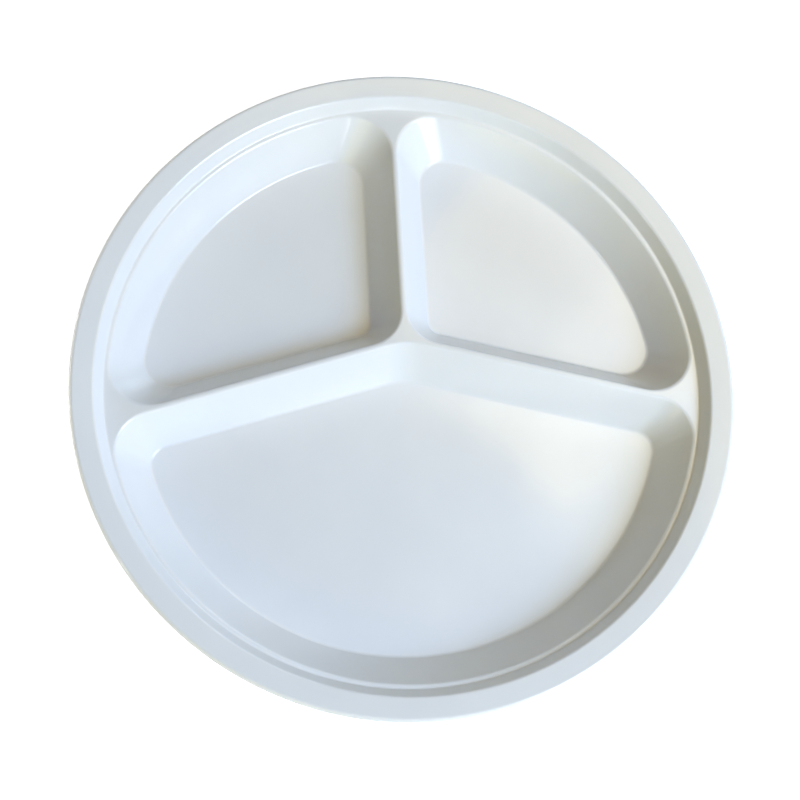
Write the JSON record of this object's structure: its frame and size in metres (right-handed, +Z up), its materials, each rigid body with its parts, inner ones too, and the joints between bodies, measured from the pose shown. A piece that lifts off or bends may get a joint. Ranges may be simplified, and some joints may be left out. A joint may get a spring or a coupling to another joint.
{
  "type": "divided compartment plate",
  "caption": "Round moulded plate with a flat rim, a stepped ledge and recessed compartments: a large lower one and two smaller upper ones, parted by low Y-shaped dividers.",
  "frame": {"origin": "middle of the underside, on the plane that the three compartment floors rest on", "axes": "+Z up out of the plate's face, +Y along the upright divider towards the rim, +X to the right seen from above"},
  "size_m": [0.26, 0.26, 0.0267],
  "materials": {
    "shell": "smooth glossy white moulded plastic with soft reflections"
  },
  "bodies": {
    "root": {"plate": "shell"}
  },
  "joints": []
}
